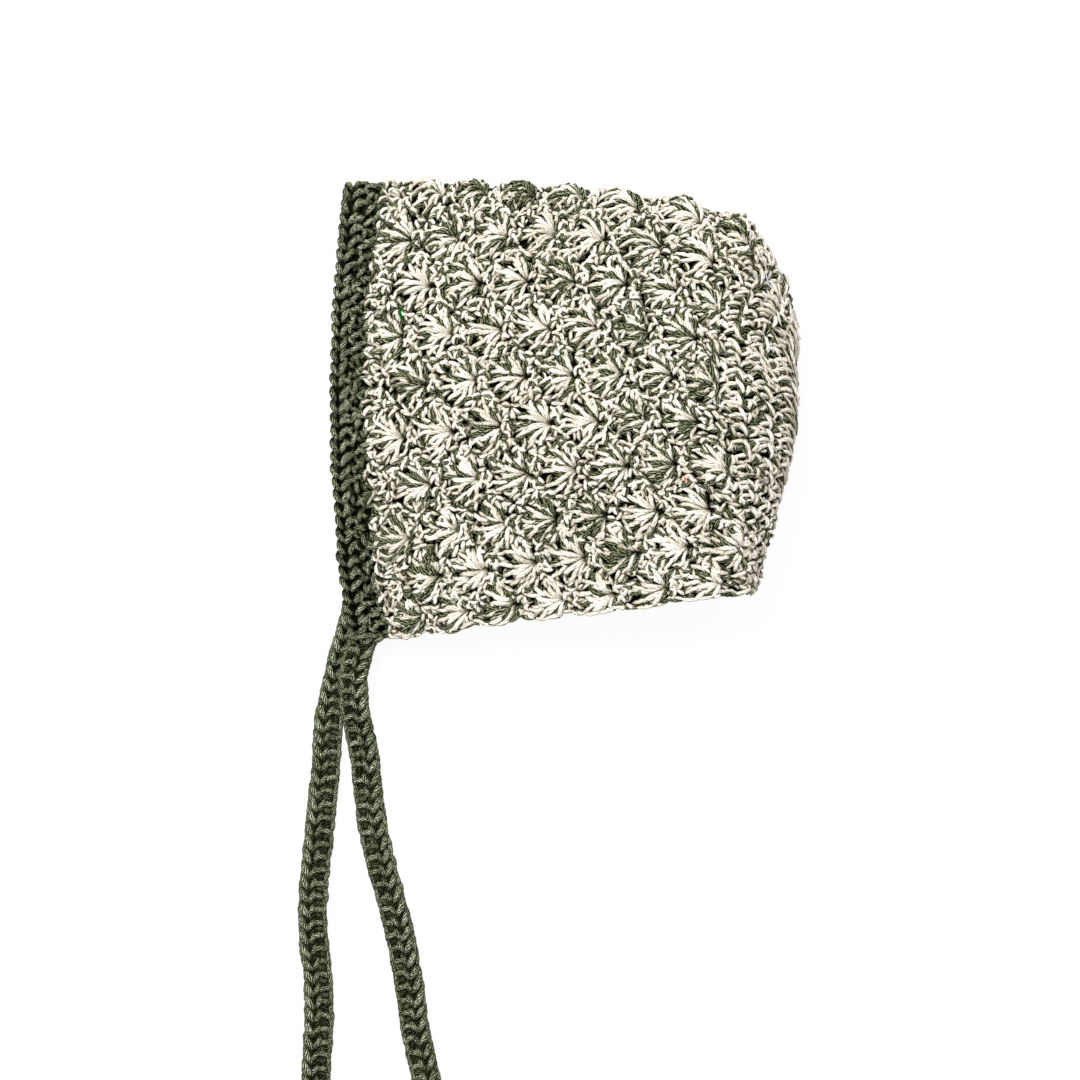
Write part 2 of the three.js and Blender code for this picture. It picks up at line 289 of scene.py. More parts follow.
# %% Shader expressions
class Shade:
    """An output of a node tree that can be used in sums."""

    def __init__(self, tree, socket):
        self.tree, self.socket = tree, socket

    def node(self, kind, settings=(), **inputs):
        """A new node of the same tree. Settings come first, then the inputs by name."""
        made = self.tree.nodes.new(kind)
        for key, value in dict(settings).items():
            setattr(made, key, value)
        for key, value in inputs.items():
            name = int(key[1:]) if key[0] == "i" and key[1:].isdigit() else key.replace("_", " ")
            socket = made.inputs[name]
            if isinstance(value, Shade):
                self.tree.links.new(value.socket, socket)
            else:
                socket.default_value = value
        return Shade(self.tree, made.outputs[0])

    def output(self, name):
        """Another output of the same node."""
        return Shade(self.tree, self.socket.node.outputs[name])

    def maths(self, operation, *values):
        inputs = {f"i{k}": v for k, v in enumerate(values)}
        return self.node("ShaderNodeMath", {"operation": operation}, **inputs)

    def __add__(self, other):
        return self.maths("ADD", self, other)

    def __sub__(self, other):
        return self.maths("SUBTRACT", self, other)

    def __mul__(self, other):
        return self.maths("MULTIPLY", self, other)

    def wave(self):
        """From 0 to 1 and back, once for each whole number."""
        return self.maths("SINE", self * (2 * math.pi)) * 0.5 + 0.5

    def ramp(self, start, stop, low, high):
        """From low to high while self goes from start to stop."""
        ends = {"From_Min": start, "From_Max": stop, "To_Min": low, "To_Max": high}
        return self.node("ShaderNodeMapRange", {"interpolation_type": "SMOOTHSTEP"}, Value=self, **ends)

    def blend(self, low, high):
        """A colour between two colours, where self runs from 0 to 1."""
        return self.node("ShaderNodeMix", {"data_type": "RGBA"}, Factor=self, i6=low, i7=high).output(2)


def colour(red, green, blue):
    """A screen colour, 0 to 255 each, as the linear colour that Blender works in."""
    screen = np.array([red, green, blue]) / 255
    linear = np.where(screen <= 0.04045, screen / 12.92, ((screen + 0.055) / 1.055) ** 2.4)
    return (*linear.tolist(), 1.0)


def new_material(name, roughness):
    """An empty fabric material: its shader, and a first expression to build on."""
    material = bpy.data.materials.new(name)
    material.use_nodes = True
    shader = material.node_tree.nodes["Principled BSDF"]
    shader.inputs["Roughness"].default_value = roughness
    shader.inputs["Specular IOR Level"].default_value = 0.03
    start = Shade(material.node_tree, None)
    return material, shader, start


# %% [markdown]
# ## What the yarn looks like
# It is cotton of a few thin plies, twisted once in about 9 mm, so that fine slanted lines run along
# every strand. The lines between the plies are painted darker as groove shade, and the plies get a
# painted highlight, more so on the green. The flanks of a strand get painted shade, as if from its
# neighbours. The band and the ties are worked with the green doubled, which shows more plies
# side by side.

# %% Yarn material
TWIST = 9.0  # millimetres of yarn in one turn of a ply


def yarn_material(name, plies, ply_groove_shade, middle, ply_highlight, shaded):
    material, shader, start = new_material(name, 0.78)
    uv = start.node("ShaderNodeUVMap", {"uv_map": "yarn"})
    split = uv.node("ShaderNodeSeparateXYZ", Vector=uv)
    along, around = split.output("X"), split.output("Y")
    place = start.node("ShaderNodeTexCoord").output("Object")
    wander = place.node("ShaderNodeTexNoise", Vector=place, Scale=420.0, Detail=1.0)
    ply = ((along * (1 / TWIST) + around) * plies + wander * 1.6).wave()
    fibre = place.node("ShaderNodeTexNoise", Vector=place, Scale=1700.0, Detail=2.0)
    cloud = place.node("ShaderNodeTexNoise", Vector=place, Scale=140.0, Detail=1.0)
    # deep is the painted depth shade from the mesh's shade attribute
    deep = start.node("ShaderNodeAttribute", {"attribute_name": "shade"}).output("Fac")
    # painted ply light: a painted highlight on the plies and painted shade in their grooves, mixed with a
    # speckle of the fibres
    light = ply * 0.8 + fibre * 1.7 - 0.75
    lower = (light * 2).blend(ply_groove_shade, middle)
    upper = (light * 2 - 1).blend(lower, ply_highlight)
    # painted shade on the flanks and underside of each strand, full colour only on its top
    painted_flank_shade = around.wave().ramp(0.25, 0.92, shaded, 1.0)
    # painted shade from depth and flanks, times a cloud of the yarn's own uneven tone
    shade_and_tone = deep * painted_flank_shade * (cloud * 0.4 + 0.8)
    # the painted shade turns a little warmer where it is darker, and multiplies the yarn colour
    tint = shade_and_tone.node("ShaderNodeCombineColor", i0=shade_and_tone, i1=shade_and_tone, i2=shade_and_tone * (shade_and_tone * 0.3 + 0.7))
    multiply = {"data_type": "RGBA", "blend_type": "MULTIPLY"}
    base = shade_and_tone.node("ShaderNodeMix", multiply, Factor=1.0, i6=upper, i7=tint).output(2)
    material.node_tree.links.new(base.socket, shader.inputs["Base Color"])
    bump = ply.node("ShaderNodeBump", Strength=0.8, Distance=0.14 * MM, Height=ply + fibre * 0.5)
    material.node_tree.links.new(bump.socket, shader.inputs["Normal"])
    return material


# each list: painted shade in the grooves between plies, the yarn's own colour, painted highlight on the
# plies
cream = [colour(186, 170, 142), colour(247, 239, 227), colour(254, 252, 249)]
green = [colour(6, 6, 3), colour(57, 62, 38), colour(163, 168, 134)]
double_green = [colour(2, 3, 1), colour(49, 57, 35), colour(210, 218, 186)]
# the last number is how dark the painted shade on a strand's flanks gets
cream_yarn = yarn_material("cream_yarn", 4, *cream, 0.36)
fine_green_yarn = yarn_material("fine_green_yarn", 4, *green, 0.2)
double_green_yarn = yarn_material("double_green_yarn", 8, *double_green, 0.06)
MARLED = [cream_yarn, fine_green_yarn]
GREENS = [cream_yarn, double_green_yarn]
print("materials:", [m.name for m in MARLED + GREENS[1:]])

# %% [markdown]
# ## Stitches of the ties
# From above, each tie shows a braid of V stitches along one side and short rungs or posts beside it.
# The braid is on the left of the lower tie and on the right of the upper one, because the upper tie
# shows its other face. Strands that overlap along both sides keep the outline straight. Below, plain
# V stitches cover the side that rests on the table. A strip could also be one flat mesh with a bump
# map, but its edge would then look cut with scissors.

# %% Make the ties
def tie_core(skein, strip, start=-1.2, stop=200.0):
    """Three thick strands in a constant painted shade, nearly black, that fill the middle of the strip."""
    stop = min(stop, strip.length - 2.5)
    s = np.linspace(start, stop, max(4, round(stop - start)))
    for across in (-2.4, 0, 2.4):
        local = np.stack([s, np.full_like(s, across), np.zeros_like(s)], axis=-1)[None]
        middle, up = strip.place(local)
        skein.lay(middle, up, 1.5, GREEN, 0.1, 8)


def tie_stitches(skein, strip, braid, rungs, start=-1.0, stop=200.0):
    """braid and rungs are the middles of the two columns, across the strip."""
    s = np.arange(start, min(stop, strip.length - 1.5), TIE_PITCH)
    side = math.copysign(1, rungs - braid)

    def column(charts, across, radius, steps=7, sides=6, shift=0.0, jitter=0.16, swing=0.1,
               painted_shade_depths=(0.7, 1.75), face=1):
        starts = np.stack([s + shift, np.full_like(s, across)], axis=-1)
        for chart in charts:
            local = copies(chart, steps, starts, jitter, swing)
            middle, up = strip.place(local)
            # painted shade by height in the tie, times a random tone of each strand
            shade_and_tone = rng.uniform(0.8, 1.2, (len(s), 1)) * depth_shade(np.abs(local[..., 2]), *painted_shade_depths)
            skein.lay(middle, up * face, radius * taper(steps, 0.5), GREEN, shade_and_tone, sides)

    outer_leg = [
        [-2.1, -side * 1.9, 0.1], [-0.4, -side * 1.75, 1.4], [1.5, -side * 0.6, 1.8], [3.3, side * 1.0, 0.5],
    ]
    inner_leg = [
        [-1.5, side * 2.3, 0.2], [0.0, side * 2.0, 1.3], [1.5, side * 1.2, 1.4], [2.7, side * 0.3, 0.3],
    ]
    column([outer_leg], braid, 1.04)
    column([inner_leg], braid, 0.86)
    rung = [
        [[1.0, -side * 2.3, 0.2], [0.1, -side * 1.2, 1.3], [-0.2, side * 0.1, 1.6],
         [0.2, side * 1.3, 1.2], [1.3, side * 1.7, 0.0]],
        [[1.1, -side * 1.9, 0.0], [1.6, -side * 0.9, 0.7], [2.0, side * 0.2, 0.9],
         [1.7, side * 1.2, 0.6], [1.1, side * 1.7, -0.3]],
    ]
    column(rung, rungs, 0.86, steps=8, shift=0.6, jitter=0.22, swing=0.16)
    edge = [[-1.4, 0, 0.1], [0.2, 0.35, 0.8], [1.6, 0.35, 0.7], [3.0, 0, 0]]
    for out in (-1, 1):
        chart = [[u, out * w, h] for u, w, h in edge]
        for shift in (0, TIE_PITCH / 2):
            column([chart], out * 3.4, 0.78, steps=6, shift=shift, jitter=0.14, swing=0.05,
                   painted_shade_depths=(-0.5, 1.5))
    under = [[[u, w, -h] for u, w, h in leg] for leg in v_stitch(TIE_PITCH, 3.6, low=0.4, high=1.35)]
    for across in (-1.8, 1.8):
        column(under, across, 0.7, steps=6, sides=4, painted_shade_depths=(0.2, 1.4), face=-1)


def tie_end(skein, strip):
    """Short strands across the plain end of a tie."""
    ends = ((0.8, 0.0, 2.7), (1.2, 1.1, 2.6), (1.2, -1.1, 2.6), (2.4, 0.5, 3.1), (2.4, -0.6, 3.1))
    for back, height, half in ends:
        s = strip.length - back
        chart = [[s - 0.9, -half, height], [s, -half / 2, height], [s, half / 2, height],
                 [s - 0.9, half, height]]
        lay_strands(skein, bend(chart, 7)[None], strip.place, 0.9, GREEN, painted_shade_depths=(-3, 2))


def make_tie(name, strip, braid, rungs):
    skein = Skein()
    tie_core(skein, strip)
    tie_stitches(skein, strip, braid, rungs)
    tie_end(skein, strip)
    piece = skein.make(name + "_crochet", GREENS)
    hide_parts(name)
    path = strip.middle[::8] * MM


# strip, and the middles of its braid and of its rungs across it
TIES = [(lower_strip, -1.8, 2.0), (upper_strip, 1.3, -2.1)]
make_tie("lower_tie", *TIES[0])
make_tie("upper_tie", *TIES[1])

# %% [markdown]
# ## The cloth of the bonnet
# Every row of stitches runs from the lower neck edge over the crown fold to the upper neck edge. The
# table gives nine of these rows: where five stations of the row lie in plan, and how high the upper
# half stands there. Between the rows, smooth curves fill in. The fold is rounded like a bent sheet,
# and the lower half lies flat on the table. Sculpting by hand could give this form too, but a table
# can be measured off the picture and corrected row by row.

# %% Sections of the cloth
BAND_WIDTH = 10.2
BODY_DEPTH = 108.7
PANEL_DEPTH = 21.3
HEIGHT = 142.0
PUFF = 42.0
CLOTH = 4.6
FOLD_RUN = 0.62
FLOOR_RUN = 0.5
ORIGIN = (71.4, 71.0)
JOIN = BAND_WIDTH
SEAM = BAND_WIDTH + BODY_DEPTH
MIDDLE = SEAM + PANEL_DEPTH

# place along the bonnet, bow of the five stations, rise of them, outer height of the upper half
SECTIONS = [
    (0.0,
     [0.022, 0.005, 0, 0.013, 0.035], [0.972, 0.736, 0.452, 0.201, 0.014], [0.36, 0.5, 0.6, 0.48, 0.243]),
    (JOIN,
     [0.034, 0.002, 0, 0.017, 0.048], [0.97, 0.736, 0.452, 0.201, 0.012], [0.37, 0.55, 0.65, 0.56, 0.32]),
    (JOIN + 0.384 * BODY_DEPTH,
     [0.024, 0.004, 0, 0.017, 0.037], [0.959, 0.736, 0.452, 0.206, 0.049], [0.42, 0.7, 0.8, 0.76, 0.62]),
    (JOIN + 0.661 * BODY_DEPTH,
     [0.024, 0, 0, 0.022, 0.037], [0.944, 0.736, 0.452, 0.206, 0.07], [0.48, 0.77, 0.88, 0.88, 0.8]),
    (JOIN + 0.867 * BODY_DEPTH,
     [0.07, 0.011, 0, 0.033, 0.05], [0.91, 0.74, 0.452, 0.198, 0.092], [0.54, 0.79, 0.9, 0.93, 0.91]),
    (SEAM,
     [0.07, -0.004, 0, 0.033, 0.037], [0.857, 0.705, 0.474, 0.228, 0.099], [0.61, 0.8, 0.91, 0.98, 0.99]),
    (SEAM + 0.35 * PANEL_DEPTH,
     [0.052, -0.009, 0, 0.01, -0.008], [0.789, 0.683, 0.452, 0.238, 0.104], [0.62, 0.78, 0.9, 0.98, 1]),
    (SEAM + 0.68 * PANEL_DEPTH,
     [0.035, -0.011, 0, -0.02, -0.055], [0.706, 0.64, 0.452, 0.258, 0.108], [0.62, 0.72, 0.84, 0.95, 1]),
    (MIDDLE,
     [0.002, 0.004, 0, -0.043, -0.102], [0.628, 0.572, 0.452, 0.287, 0.11], [0.62, 0.67, 0.79, 0.93, 1]),
]
rows_at = np.array([s[0] for s in SECTIONS])
stations_at = np.array([np.transpose(s[1:]) * [HEIGHT, HEIGHT, PUFF] for s in SECTIONS])


def smooth(knots, values, t):
    """Smooth value at t (a number or an array) of values (n, ...) given at n knots."""
    n = len(knots)
    before, after = np.maximum(np.arange(n) - 1, 0), np.minimum(np.arange(n) + 1, n - 1)
    rest = (1,) * (values.ndim - 1)
    slope = (values[after] - values[before]) / (knots[after] - knots[before]).reshape(-1, *rest)
    t = np.asarray(t, dtype=float)
    i = np.clip(np.searchsorted(knots, t) - 1, 0, n - 2)
    width = knots[i + 1] - knots[i]
    u = np.clip((t - knots[i]) / width, 0, 1).reshape(*t.shape, *rest)
    width = np.reshape(width, (*t.shape, *rest))
    rise = 3 * u**2 - 2 * u**3
    return ((1 - rise) * values[i] + (u**3 - 2 * u**2 + u) * width * slope[i]
            + rise * values[i + 1] + (u**3 - u**2) * width * slope[i + 1])


def stations(r):
    five = smooth(rows_at, stations_at, r)
    return five + [r - ORIGIN[0], -ORIGIN[1], 0]


def plan_curve(r, count):
    """The row at r in plan, as x, y and outer height, closer together near the fold."""
    five = stations(r)
    reach = np.concatenate([[0], np.cumsum(np.linalg.norm(np.diff(five[:, :2], axis=0), axis=1))])
    t = (1 - np.cos(np.pi / 2 * np.arange(count + 1) / count)) * reach[-1]
    return smooth(reach, five, t)


# %% [markdown]
# The fold line runs over the crown and down the middle of the back panel. The nearer a point is to
# it, the more the cloth bends over, so each point of the plan needs its distance from that line.

# %% The middle of the cloth
fold_line = np.concatenate([[stations(MIDDLE * i / 90)[0] for i in range(90)], plan_curve(MIDDLE, 70)])


def to_fold(plan):
    """Distance from the fold, and the fold's outer height at the nearest point."""
    a, d = fold_line[:-1], np.diff(fold_line, axis=0)
    a, d = a[(d[:, :2] ** 2).sum(1) > 0], d[(d[:, :2] ** 2).sum(1) > 0]
    off = plan[:, None, :2] - a[None, :, :2]
    u = np.clip((off * d[:, :2]).sum(2) / (d[:, :2] ** 2).sum(1), 0, 1)
    gap = np.linalg.norm(off - u[..., None] * d[:, :2], axis=2)
    k = gap.argmin(1)
    n = np.arange(len(plan))
    return gap[n, k], a[k, 2] + u[n, k] * d[k, 2]


def round_off(distance, run):
    left = 1 - np.minimum(1, distance / run)
    return 1 - np.sqrt(np.maximum(0, 1 - left * left))


def cloth_line(plan, upper):
    """The middle of the cloth over a row of the plan, in the upper or the lower half."""
    distance, tall = to_fold(plan)
    if upper:
        top = plan[:, 2] - CLOTH / 2
        z = top - (top - tall / 2) * round_off(distance, tall * FOLD_RUN)
    else:
        z = CLOTH / 2 + (tall / 2 - CLOTH / 2) * round_off(distance, tall * FLOOR_RUN)
    return np.column_stack([plan[:, :2], z])


# %% [markdown]
# A net of points over the whole cloth comes next, with the direction that faces out at each of them.
# A stitch then finds its place by reading the net: how far back on the bonnet, how far along the row
# as a share from -1 at the lower neck edge to 1 at the upper one, and how high above the cloth.

# %% Net over the cloth
net_rows = np.linspace(0, MIDDLE, 142)
net_shares = np.linspace(-1, 1, 401)
row_length = np.zeros(len(net_rows))
net = np.zeros((len(net_rows), len(net_shares), 3))
for i, r in enumerate(net_rows):
    plan = plan_curve(r, 90)
    for upper in (False, True):
        line = cloth_line(plan, upper)
        reach = np.concatenate([[0], np.cumsum(np.linalg.norm(np.diff(line, axis=0), axis=1))])
        half = net_shares >= 0 if upper else net_shares < 0
        wanted = np.abs(net_shares[half]) * reach[-1]
        net[i, half] = np.column_stack([np.interp(wanted, reach, line[:, k]) for k in range(3)])
        row_length[i] += reach[-1] / 2
net[-1] = (net[-1] + net[-1, ::-1]) / 2
facing = unit(np.cross(np.gradient(net, axis=1), np.gradient(net, axis=0)))
facing[-1] = unit((facing[-1] + facing[-1, ::-1]) * [1, 1, 0])
print("length of half a row, at the face and at the panel's seam:", row_length[[0, -23]].round(1))


def read_net(table, r, share):
    fr = np.clip(r / MIDDLE * (len(net_rows) - 1), -2, len(net_rows) - 1)
    fs = (share + 1) / 2 * (len(net_shares) - 1)
    i = np.clip(fr.astype(int), 0, len(net_rows) - 2)
    j = np.clip(fs.astype(int), 0, len(net_shares) - 2)
    u, v = (fr - i)[..., None], (fs - j)[..., None]
    near = table[i, j] * (1 - v) + table[i, j + 1] * v
    far = table[i + 1, j] * (1 - v) + table[i + 1, j + 1] * v
    return near * (1 - u) + far * u


def on_cloth(r, share, height, face=1):
    """Points over the outer (1) or inner (-1) face of the cloth and the direction that faces out there.
    Past the middle of the panel, the cloth goes on in the other half."""
    share = np.where(r > MIDDLE, -share, share)
    r = np.where(r > MIDDLE, 2 * MIDDLE - r, r)
    up = unit(read_net(facing, r, share)) * face
    return read_net(net, r, share) + height[..., None] * up, up


def row_place(row, face=1):
    """A place function for charts on cloth: along the row, back on the bonnet, and up from the face."""
    def place(local):
        half = np.interp(row, net_rows, row_length)
        return on_cloth(row + local[..., 1], local[..., 0] / half, local[..., 2], face)
    return place


# %% [markdown]
# ## The ground behind the stitches
# Between the stitches one looks down into shade. A thin dark sheet in the middle of the cloth stands
# for all the yarn that lies too deep to see, and keeps light from leaking through the bonnet. It is a
# grid bent over the net, merged down the middle of the panel and given its thickness by Solidify.

# %% Ground sheets
def shaded_material():
    material, shader, start = new_material("shaded_yarn", 0.95)
    place = start.node("ShaderNodeTexCoord").output("Object")
    speck = place.node("ShaderNodeTexNoise", Vector=place, Scale=900.0, Detail=3.0)
    mixed = speck.blend(colour(3, 3, 1), colour(30, 32, 20))
    material.node_tree.links.new(mixed.socket, shader.inputs["Base Color"])
    return material


shaded_yarn = shaded_material()
GROUND = 1.0  # thickness of the sheet, in millimetres


def ground_sheet(name, start, stop, node):
    rows = np.linspace(start, stop, max(5, round((stop - start) / 3) + 1))
    shares = np.linspace(-1, 1, 91)
    bpy.ops.object.select_all(action="DESELECT")
    bpy.ops.mesh.primitive_grid_add(
        x_subdivisions=len(rows) - 1, y_subdivisions=len(shares) - 1, size=2, location=(0, 0, 0)
    )
    piece = bpy.context.object
    piece.name = piece.data.name = name
    flat = np.zeros(len(piece.data.vertices) * 3)
    piece.data.vertices.foreach_get("co", flat)
    flat = flat.reshape(-1, 3)
    r = start + (flat[:, 0] + 1) / 2 * (stop - start)
    bent, _ = on_cloth(r, flat[:, 1] * 0.995, np.zeros(len(r)))
    piece.data.vertices.foreach_set("co", (bent * MM).ravel())
    bpy.ops.object.mode_set(mode="EDIT")
    bpy.ops.mesh.select_all(action="SELECT")
    bpy.ops.mesh.remove_doubles(threshold=0.02 * MM)
    bpy.ops.mesh.normals_make_consistent(inside=False)
    bpy.ops.object.mode_set(mode="OBJECT")
    solidify = piece.modifiers.new("thickness", "SOLIDIFY")
    solidify.thickness = GROUND * MM
    solidify.offset = 0
    bpy.ops.object.modifier_apply(modifier=solidify.name)
    bpy.ops.object.shade_smooth()
    piece.data.materials.append(shaded_yarn)
    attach(piece, "root")
    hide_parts(node)
    print(name, "has", len(piece.data.polygons), "faces")


ground_sheet("band_ground", 0.6, JOIN, "front_band")
ground_sheet("body_ground", JOIN, SEAM, "shell_body")
ground_sheet("panel_ground", SEAM, MIDDLE, "back_panel")

# %% [markdown]
# ## Marled yarn
# The body is worked with a cream strand and a green strand held together. The two wind round each
# other as they go, so that now the one and now the other lies on top. That gives the mottled look,
# and it is why some fans look nearly all cream and others nearly all green.

# %% Pairs of strands
def lay_marled(skein, local, place, radius, lean, sides=5, painted_shade_depths=(0.6, 2.4)):
    """lean is the angle of the cream strand round the green one: 0 beside it, a quarter turn on top."""
    n, k, _ = local.shape
    run = np.gradient(local[..., :2], axis=1)
    aside = unit(np.stack([-run[..., 1], run[..., 0]], axis=-1))
    t = np.linspace(0, 1, k)
    sway = rng.normal(0, 0.13, (n, 1)) * np.sin(2 * np.pi * (t + rng.random((n, 1))))
    local = np.concatenate([local[..., :2] + aside * sway[..., None], local[..., 2:]], axis=-1)
    radius = (radius if np.ndim(radius) else radius * taper(k)) * rng.normal(1, 0.09, (n, 1))
    lean = np.broadcast_to(lean, (n, k))[..., None]
    apart = np.concatenate([aside * np.cos(lean), np.sin(lean)], axis=-1) * radius[..., None] * 0.92
    lay_strands(skein, local + apart, place, radius, CREAM, sides, painted_shade_depths)
    lay_strands(skein, local - apart, place, radius * 0.94, GREEN, sides, painted_shade_depths)


def twisting(n, k, middle=0.4, spread=0.6, turn=1.1):
    """Random leans that change along each pair."""
    lean = middle + rng.normal(0, spread, (n, 1)) + rng.normal(0, turn, (n, 1)) * np.linspace(-0.5, 0.5, k)
    return np.where(rng.random((n, 1)) < 0.5, np.pi - lean, lean)


# %% [markdown]
# ## Shells
# A shell is a fan of long stitches worked into one point. It opens towards the face. Its posts are
# narrow and deep at that point, swell in the middle and dive under the chain of V stitches on its
# rim. The next row's shells grow from the valleys between two fans, half a repeat further on. The
# whole pattern sits a little to the upper side of the fold, as it does on the real bonnet.

# %% Places of the shells
SHELL_ROWS = 14
SHELL_LENGTH = 12.1
SHELLS_PER_SIDE = 4.65
SHELL_PITCH = 29.5  # millimetres along the row where the bonnet is widest
ROW_PITCH = (BODY_DEPTH - SHELL_LENGTH) / (SHELL_ROWS - 1)
FULL_SIDE = SHELLS_PER_SIDE * SHELL_PITCH
OFF_CENTRE = 0.14  # of a shell
FAN_MIDDLE = 6.0  # from a shell's point to the middle of its fan
FAN_RELIEF = 2.7
CREST = 0.3  # how much more the fans stand up on the crown fold


def shell_place(face=1):
    """Charts with the distance along the row as where the bonnet is widest, and the row's coordinate.
    Every fan stands proud of the valleys round it, so the outline is scalloped. What reaches past the
    neck edge is drawn in."""
    def place(local):
        share = local[..., 0] / FULL_SIDE
        past = np.abs(share) - 1
        share = np.where(past > 0, np.sign(share) * (1 + 0.12 * past), share)
        row = (SEAM - FAN_MIDDLE - local[..., 1]) / ROW_PITCH
        c = local[..., 0] / SHELL_PITCH - OFF_CENTRE
        proud = FAN_RELIEF * (0.36 + 0.5 * np.cos(np.pi * row) * np.cos(2 * np.pi * c))
        proud = proud * (1 + CREST * np.clip(1 - np.abs(c), 0, 1))
        return on_cloth(local[..., 1], share, local[..., 2] + (proud if face > 0 else 0), face)
    return place


shells = []
for row in range(SHELL_ROWS):
    for c in np.arange(-5.0 + 0.5 * (row % 2), 5.1, 1.0):
        crown = 0.2 * max(0, 1 - row / 6) * max(0, 1 - abs(c) / 2.2)
        moved = c + OFF_CENTRE - 0.18 * max(0, min(1, c - 3.6)) + crown
        if -SHELLS_PER_SIDE - 0.05 < moved < SHELLS_PER_SIDE:
            shells.append((moved * SHELL_PITCH, SEAM - row * ROW_PITCH))
shells = np.array(shells)
print(len(shells), "shells in", SHELL_ROWS, "rows, a row every", round(ROW_PITCH, 2), "mm")

# %% The fan of one shell, for many shells at once
FAN = math.radians(67)


def fan_reach(angle):
    """Length of a post: the middle ones are longer."""
    return 11.4 - 3.2 * (angle / FAN) ** 2


def fan_points(shells, angle, out, height):
    """Chart points from the angle and distance to the point of each shell, each (shells, posts, k)."""
    angle, out, height = np.broadcast_arrays(angle, out, height)
    local = np.stack([out * np.sin(angle), -out * np.cos(angle), height], axis=-1)
    local = local + np.concatenate([shells, np.zeros((len(shells), 1))], axis=1)[:, None, None]
    return local.reshape(-1, *local.shape[2:])


def worn(local, reach=1.5):
    """Which strands lie on the body, not past the neck edge or the join."""
    k = local.shape[1] // 2
    return (np.abs(local[:, k, 0]) < FULL_SIDE + reach) & (local[:, k, 1] > JOIN + 0.7)


def lay_fans(skein, shells, face=1, posts=8, steps=6, sides=5, swell=1.0, lift=1.0):
    """Each post is two lengths of yarn. One comes out of the point of the shell, and the other goes on
    from its middle to the rim. The mood of a fan makes it more cream or more green as a whole."""
    n = len(shells)
    mood = np.repeat(rng.normal(0.3, 0.5, n), posts)[:, None]
    spread = np.linspace(-FAN, FAN, posts) + rng.normal(0, 0.045, (n, posts)) + rng.normal(0, 0.07, (n, 1))
    spread, reach = spread[..., None], (fan_reach(spread) * rng.normal(1, 0.04, (n, posts)))[..., None]
    t = np.linspace(0, 1, steps)
    bulge = rng.normal(0, 0.06, (n, posts, 1)) * np.sin(np.pi * t)
    high = lift * rng.normal(1, 0.08, (n, posts, 1))
    inner = fan_points(
        shells, spread * (0.76 + 0.26 * t) + bulge, 0.6 + t * 0.66 * reach,
        0.3 + 2.3 * high * np.sin(np.pi * (0.02 + 0.88 * t)) ** 0.8,
    )
    lean = twisting(n * posts, steps, mood, 0.5)
    keep = worn(inner)
    swelling = np.interp(t, [0, 0.35, 0.7, 1], [0.34, 0.68, 0.84, 0.54]) * swell
    lay_marled(skein, inner[keep], shell_place(face), swelling, lean[keep], sides)
    t = np.linspace(0, 1, steps - 1)
    aside = rng.choice([-0.16, 0.16], (n, posts, 1)) * (1 - t)
    outer = fan_points(
        shells, spread + aside, (0.46 + 0.6 * t) * reach,
        1.2 + 1.4 * high * np.sin(np.pi * (0.1 + 0.85 * t)) - 0.5 * t,
    )
    lean = twisting(n * posts, steps - 1, mood, 0.5)
    keep = worn(outer)
    lay_marled(skein, outer[keep], shell_place(face), 0.68 * swell, lean[keep], sides)


# %% [markdown]
# Round the rim of each fan runs a chain. Each of its V stitches caps one post, and shows as two plump
# grains of yarn that meet at a tip. Where a new shell springs, a few short stitches make a knot.

# %% Rims and knots
def lay_rims(skein, shells, stitches=10, steps=5, sides=5, radius=0.64):
    n = len(shells)
    turn = np.linspace(-1.08, 1.0, stitches) * FAN + rng.normal(0, 0.05, (n, stitches))
    turn = turn[..., None]
    for side in (-1, 1):
        leg = bend([[-0.4, side * 0.3, 1.2], [0.6, side * 0.8, 2.6], [1.6, side * 1.2, 2.7],
                    [2.6, side * 1.6, 1.2]], steps)
        out = fan_reach(turn) + 1.9 + leg[:, 1] + rng.normal(0, 0.25, (n, stitches, 1))
        angle = turn + (leg[:, 0] + rng.normal(0, 0.25, (n, stitches, 1))) / (fan_reach(turn) + 1.9)
        local = fan_points(shells, angle, out, leg[:, 2] + rng.normal(0, 0.2, (n, stitches, 1)))
        local = local[worn(local, 0.8)]
        lay_marled(skein, local, shell_place(), radius, twisting(len(local), steps, turn=0.4), sides)


KNOT = [
    [[-1.7, 1.5, 1.0], [-0.8, 1.9, 2.4], [0.1, 2.4, 2.5], [0.9, 3.0, 1.0]],
    [[1.7, 1.9, 1.0], [1.0, 2.8, 2.3], [0.1, 3.5, 2.4], [-0.9, 3.9, 1.0]],
    [[-2.3, 2.6, 1.0], [-2.0, 1.7, 2.4], [-1.7, 0.9, 2.4], [-1.4, 0.0, 0.9]],
    [[2.3, 2.6, 1.0], [2.0, 1.7, 2.4], [1.7, 0.9, 2.4], [1.4, 0.0, 0.9]],
]


def lay_knots(skein, shells, charts=KNOT, steps=5, sides=5, radius=0.64):
    base = np.concatenate([shells, np.zeros((len(shells), 1))], axis=1)[:, None]
    for chart in charts:
        local = bend(chart, steps)[None] + base + rng.normal(0, 0.28, (len(shells), 1, 3)) * [1, 1, 0.6]
        local = local[worn(local, 0)]
        lay_marled(skein, local, shell_place(), radius, twisting(len(local), steps, turn=0.4), sides)


